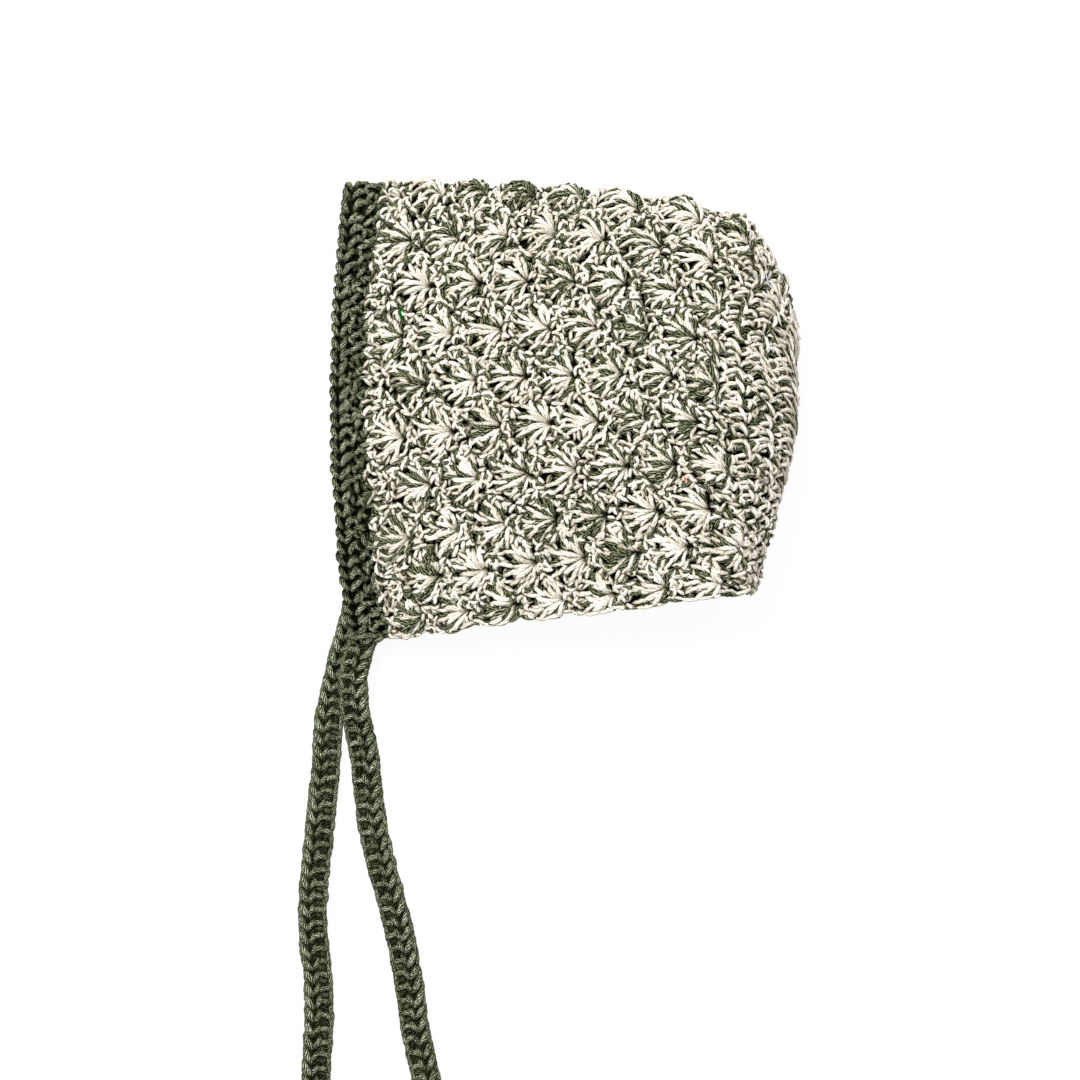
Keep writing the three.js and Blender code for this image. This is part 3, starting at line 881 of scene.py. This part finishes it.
def lay_filling(skein, shells, start, stop, half, spacing=2.6, steps=4, sides=4):
    """Short low strands all over, except at the points of the shells. They show between the fans as
    the stitches underneath."""
    u = np.arange(-FULL_SIDE + 1.2, FULL_SIDE - 1, spacing)
    u = u[u * half > 0]
    w = np.arange(start + 1.2, stop, spacing)
    spots = np.stack(np.meshgrid(u, w), axis=-1).reshape(-1, 2) + rng.normal(0, 0.5, (len(u) * len(w), 2))
    gap = np.linalg.norm(spots[:, None] - shells, axis=2).min(1)
    spots = spots[gap > 2.4]
    angle = rng.normal(0, 0.5, (len(spots), 1)) + rng.choice([-0.8, 0.8], (len(spots), 1))
    t = np.linspace(-1, 1, steps)
    run = 1.9 * t
    local = np.stack([
        spots[:, :1] + run * np.sin(angle),
        spots[:, 1:] + run * np.cos(angle),
        rng.uniform(0.9, 1.9, (len(spots), 1)) + 0.5 * (1 - t * t),
    ], axis=-1)
    local[..., 1] = np.clip(local[..., 1], start - 0.5, stop + 0.5)
    lay_marled(skein, local, shell_place(), 0.58, twisting(len(spots), steps), sides)


# %% [markdown]
# The body is large, so its stitches make four pieces: the upper and the lower half, each in a part
# near the face and a part near the back. A fifth piece holds the simpler stitches of the inside. The
# lower half lies on the table and needs less detail.

# %% Make the shells
def body_piece(name, half, first, last):
    """Shells of the rows first to last, in the upper (1) or lower (-1) half."""
    top = SEAM - (first - 0.4) * ROW_PITCH if first else SEAM
    bottom = SEAM - (last + 0.6) * ROW_PITCH if last < SHELL_ROWS - 1 else JOIN
    row = np.round((SEAM - shells[:, 1]) / ROW_PITCH)
    mine = shells[(row >= first) & (row <= last) & (shells[:, 0] * half > 0)]
    sides = 5 if half > 0 else 4
    skein = Skein()
    lay_filling(skein, shells, bottom, top, half, spacing=2.6 if half > 0 else 4.4)
    lay_fans(skein, mine, sides=sides, steps=6 if half > 0 else 5)
    lay_rims(skein, mine, sides=sides, steps=5 if half > 0 else 4)
    lay_knots(skein, mine, sides=sides, steps=5 if half > 0 else 4)
    skein.make(name, MARLED)


body_piece("upper_shells_back", 1, 0, 6)
body_piece("upper_shells_front", 1, 7, 13)
body_piece("lower_shells_back", -1, 0, 6)
body_piece("lower_shells_front", -1, 7, 13)

inside = Skein()
lay_fans(inside, shells, face=-1, posts=5, steps=4, sides=4, swell=1.3, lift=0.7)
inside.make("inside_shells", MARLED)

# %% [markdown]
# ## The back panel
# Long stitches run across the panel in three rows on either side of its middle. A chain of V
# stitches lies along each row, and one more closes the fold down the middle of the back. A few small
# fans round off the crown, where the panel meets the shells. The same charts serve every row, so the
# columns line up as they do in real crochet.

# %% Make the back panel
def row_starts(r, pitch, first=-1.0, shift=0.0):
    """Starts (n, 2) on the row at r, in millimetres from the fold, evenly spaced up to the upper edge."""
    half = float(np.interp(r, net_rows, row_length))
    count = max(2, round((1 - first) * half / pitch))
    u = (np.arange(count) + 0.5) / count * (1 - first) * half + first * half + shift
    return np.stack([u, 0 * u], axis=-1)


def lay_row(skein, charts, r, pitch, radius, steps=6, jitter=0.15, first=-1.0, painted_shade_depths=(0.6, 2.4)):
    """Marled stitches along the row at r."""
    starts = row_starts(r, pitch, first)
    for chart in charts:
        local = copies(chart, steps, starts, jitter, 0.12)
        lay_marled(skein, local, row_place(r), radius, twisting(len(starts), steps), 5, painted_shade_depths)


def panel_place(r, face=1):
    """A place function for the panel, whose rows grow shorter towards its middle. Away from the crown
    a long stitch keeps its distance from the neck edge, so it crosses its row squarely."""
    def place(local):
        here = r + local[..., 1]
        half = np.interp(np.minimum(here, 2 * MIDDLE - here), net_rows, row_length)
        first = np.interp(r + 0 * here, net_rows, row_length)
        own = np.abs(local[..., 0]) / first
        straight = 1 - (1 - own) * first / half
        away = np.clip(np.abs(local[..., 0]) / 30, 0, 1)
        share = np.sign(local[..., 0]) * (own + (straight - own) * (3 * away**2 - 2 * away**3))
        return on_cloth(here, share, local[..., 2], face)
    return place


PANEL_PITCH = 4.1


def lay_posts(skein, charts, r, radius, face=1, steps=5, sides=5):
    """The long stitches of one row of the panel."""
    starts = row_starts(r, PANEL_PITCH)
    for chart in charts:
        local = copies(chart, steps, starts, 0.2, 0.12)
        lean = rng.normal(0.75, 0.45, (len(starts), 1))
        lay_marled(skein, local, panel_place(r, face), radius, lean, sides)


PANEL_ROWS = 3
CROWN_FANS = [(8.4, 2.0), (12.4, 7.0), (17.4, 4.0)]  # back from the seam, and along the row from the fold


def panel_piece():
    skein = Skein()
    depth = PANEL_DEPTH / PANEL_ROWS
    post = [
        [[0.3, 0.16 * depth, 0.9], [-0.9, 0.32 * depth, 2.5], [-1.0, 0.62 * depth, 2.7],
         [0.4, 0.9 * depth, 0.9]],
        [[1.7, 0.2 * depth, 0.7], [0.9, 0.4 * depth, 2.0], [1.0, 0.6 * depth, 2.1],
         [2.0, 0.85 * depth, 0.7]],
        [[-0.6, 0.0, 1.3], [0.3, 0.16 * depth, 2.5], [1.3, 0.24 * depth, 2.3],
         [2.2, 0.4 * depth, 0.9]],
    ]
    back = [[[u, w, h * 0.85] for u, w, h in chart] for chart in post[:2]]
    vee = [
        [[-1.3, side * 1.9, 1.1], [-0.3, side * 1.5, 2.7], [1.1, side * 0.7, 3.0], [2.4, side * 0.1, 1.3]]
        for side in (-1, 1)
    ]
    for half in (-1, 1):
        lay_filling(skein, shells, SEAM, MIDDLE - 1, half, spacing=4.2)
    for k in range(PANEL_ROWS):
        lay_posts(skein, post, SEAM + k * depth, 0.72)
        lay_posts(skein, back, SEAM + k * depth, 0.75, face=-1, steps=4, sides=4)
    for k in range(PANEL_ROWS):
        lay_row(skein, vee, SEAM + k * depth - 0.5, PANEL_PITCH, 0.7)
    chain = [
        [[-1.8, side * 2.7, 1.2], [-0.6, side * 2.2, 1.9], [0.8, side * 1.1, 2.1], [2.2, side * 0.2, 1.0]]
        for side in (-1, 1)
    ]
    chain.append([[-1.9, 0, 0.9], [-0.6, 0, 1.2], [0.6, 0, 1.2], [1.9, 0, 0.9]])
    lay_row(skein, chain, MIDDLE, 3.0, 0.72, first=0.0, painted_shade_depths=(-0.4, 1.9))
    t = np.linspace(0, 1, 6)
    for back, along in CROWN_FANS:
        for half in (-1, 1):
            angle = np.radians(np.linspace(-115, -5, 7))[:, None] * half + 0 * t
            out = 0.4 + rng.normal(5.6, 0.4, (7, 1)) * t
            height = 1.0 + 1.7 * np.sin(np.pi * (0.03 + 0.87 * t)) ** 0.8 + 0 * angle
            local = np.stack([half * along + out * np.sin(angle), -out * np.cos(angle), height], axis=-1)
            lay_marled(skein, local, row_place(SEAM + back), 0.68, twisting(7, 6))
    skein.make("panel_stitches", MARLED)


panel_piece()

# %% [markdown]
# ## The green band
# The band is three rows of short stitches and a braid of V stitches on the very edge, in doubled
# green yarn like the ties. Short strands that slant four ways make each stitch, since a real one shows
# no tidy chart from above. Only the braid is regular. The band also covers the starts of the ties.

# %% Make the band
BAND_PITCH = 3.85
BAND_ROWS = (4.6, 7.5, 10.3)  # back from the brim


def lay_green(skein, charts, r, radius, face=1, steps=6, sides=6, jitter=0.14, shift=0.0, swing=0.08,
              painted_shade_depths=(1.6, 2.8)):
    """Green stitches along the row at r."""
    for chart in charts:
        local = copies(chart, steps, row_starts(r, BAND_PITCH, shift=shift), jitter, swing)
        lay_strands(skein, local, row_place(r, face), radius, GREEN, sides, painted_shade_depths)


def band_piece():
    skein = Skein()
    slants = [
        [[1.6, -1.7, 0.6], [0.8, -0.8, 2.3], [-0.5, 0.6, 2.6], [-1.4, 1.7, 0.7]],
        [[-1.9, -1.4, 0.5], [-1.3, -0.6, 1.5], [-0.2, 0.6, 1.7], [0.7, 1.6, 0.5]],
        [[-0.6, -1.8, 0.5], [0.4, -1.2, 1.6], [1.5, -0.9, 1.8], [2.3, -1.5, 0.5]],
        [[-1.7, 0.3, 0.5], [-0.8, 0.9, 2.2], [0.4, 1.6, 2.3], [1.3, 2.4, 0.6]],
    ]
    for k, r in enumerate(BAND_ROWS):
        for n, chart in enumerate(slants):
            shift = BAND_PITCH / 2 * (k % 2)
            lay_green(skein, [chart], r, 0.84 - 0.05 * n, sides=5, jitter=0.42, shift=shift, swing=0.45)
            if n < 2:
                inner = [[u, w, h * 0.9] for u, w, h in chart]
                lay_green(skein, [inner], r - 0.6, 0.95, face=-1, steps=5, sides=4, shift=shift)
    for face in (1, -1):
        edge = [
            [[-1.9, -1.3, 0.5], [-0.4, -1.3, 2.0], [1.3, -0.3, 2.5], [2.9, 1.0, 1.3]],
            [[-1.7, 3.1, 0.7], [-0.4, 2.8, 2.4], [1.2, 2.0, 2.8], [2.7, 1.3, 1.4]],
        ]
        lay_green(skein, edge, 1.4, 0.96, face=face, jitter=0.18, sides=6 if face > 0 else 4)
    for height in (-1.0, 0.4):
        rope = [[[-2.2, -0.7, height], [-0.7, -1.0, height + 0.4], [0.8, -1.0, height + 0.2],
                 [2.2, -0.7, height - 0.2]]]
        lay_green(skein, rope, 1.3, 0.8, steps=5, painted_shade_depths=(-4, 2))
    t = np.linspace(0, 1, 7)
    for half in (-1, 1):
        for height in (-0.8, 0.6, 1.7):
            wave = half * (FULL_SIDE + 0.5 * np.sin(7 * t + height))
            local = np.stack([wave, 0.8 + 9.2 * t, height + 0.3 * np.sin(9 * t)], axis=-1)[None]
            lay_strands(skein, local, shell_place(), 0.85, GREEN, painted_shade_depths=(-1.0, 2.4))
    for strip, braid, rungs in TIES:
        tie_core(skein, strip, start=-8.0, stop=-1.0)
        tie_stitches(skein, strip, braid, rungs, start=-1.0 - 2 * TIE_PITCH, stop=-1.5)
    skein.make("band_stitches", GREENS)


band_piece()

# %% [markdown]
# ## Edges and the join
# At the neck, the ends of the rows turn round and show as short strands along the edge. At the join,
# loops of the last shells poke into the green.

# %% Make the neck edge and the join
def edge_piece():
    skein = Skein()
    for half in (-1, 1):
        for height in (-1.2, 0.4, 1.9):
            w = np.arange(JOIN + 2, SEAM + 14, 3.9)
            t = np.linspace(-1, 1, 5)
            run = w[:, None] + 2.6 * t
            dent = 0.9 * np.cos(2 * np.pi * run / (2 * ROW_PITCH))
            u = half * (FULL_SIDE + dent + rng.normal(0, 0.25, (len(w), 1)))
            h = height + 0.3 * (1 - t * t) + rng.normal(0, 0.15, (len(w), 1))
            local = np.stack([u, run, np.broadcast_to(h, run.shape)], axis=-1)
            local[..., 1] = np.minimum(local[..., 1], MIDDLE - 0.5)
            lay_marled(skein, local, shell_place(), 0.7, twisting(len(w), 5), 5, painted_shade_depths=(-4, 1.8))
    loops = [
        [[-1.1, 1.5, 1.0], [-0.8, 0.6, 2.3], [-0.2, -0.5, 2.4], [0.3, -1.2, 1.2]],
        [[1.3, 1.4, 1.0], [1.0, 0.5, 2.3], [0.6, -0.3, 2.4], [0.3, -1.2, 1.2]],
    ]
    for r in (JOIN + 2.1, JOIN + 4.2):
        lay_row(skein, loops, r, 3.85, 0.6, jitter=0.3)
    skein.make("edge_stitches", MARLED)


edge_piece()

# %% [markdown]
# Three bits of lint are caught in the stitches: a bright green one, an orange one and a pale one. Each
# is a single thin length of yarn in its own plain colour, which is enough for something so small.

# %% Make the lint
def lint(name, tint, radius, place, points):
    skein = Skein()
    middle, up = place(bend(points, 7)[None])
    skein.lay(middle, up, radius, 0, 1.0, 5)
    material, shader, _ = new_material(name, 0.8)
    shader.inputs["Base Color"].default_value = tint
    skein.make(name, [material])


lint("green_lint", colour(2, 84, 16), 0.42, shell_place(),
     [(40.3, 21.3, 3.0), (41.5, 21.2, 3.6), (42.7, 21.5, 3.6), (43.9, 21.7, 2.8)])
lint("orange_lint", colour(225, 84, 36), 0.16, shell_place(),
     [(97.0, 106.0, 3.5), (97.9, 106.1, 4.1), (98.8, 106.6, 3.6)])
lint("pale_lint", colour(214, 212, 240), 0.15, row_place(122.6),
     [(10.2, 1.6, 3.8), (11.0, 2.0, 4.4), (11.5, 2.8, 4.4), (11.6, 4.0, 3.9)])

# %% [markdown]
# ## Table and light
# The table is a plain white sheet, and the light comes softly from the upper left, as the faint
# shadows at the lower right edges show. A pale sky fills in from all round. The sheet glows a little
# by itself, because a brighter lamp that turned it pure white would burn out the cream yarn.

# %% Table, lights and view
bpy.ops.mesh.primitive_plane_add(size=3.0, location=(0, 0, 0))
table = bpy.context.object
table.name = "table_top"
white, shader, _ = new_material("white_table", 0.9)
shader.inputs["Base Color"].default_value = colour(86, 86, 88)
shader.inputs["Emission Color"].default_value = (1, 1, 1, 1)
shader.inputs["Emission Strength"].default_value = 0.93
table.data.materials.append(white)

LIGHT_X, LIGHT_Y, LIGHT_Z = -0.5, 0.6, 1.4
bpy.ops.object.light_add(type="AREA", location=(LIGHT_X, LIGHT_Y, LIGHT_Z))
window = bpy.context.object
window.name = "window_light"
window.data.shape = "DISK"
window.data.size = 0.9
window.data.energy = 26
tilt = math.atan2(math.hypot(LIGHT_X, LIGHT_Y), LIGHT_Z)
window.rotation_euler = (tilt, 0, math.atan2(LIGHT_X, -LIGHT_Y))

world = bpy.data.worlds.new("pale_room")
world.use_nodes = True
world.node_tree.nodes["Background"].inputs["Color"].default_value = (1, 1, 1, 1)
world.node_tree.nodes["Background"].inputs["Strength"].default_value = 0.64
bpy.context.scene.world = world
bpy.context.scene.view_settings.view_transform = "Standard"
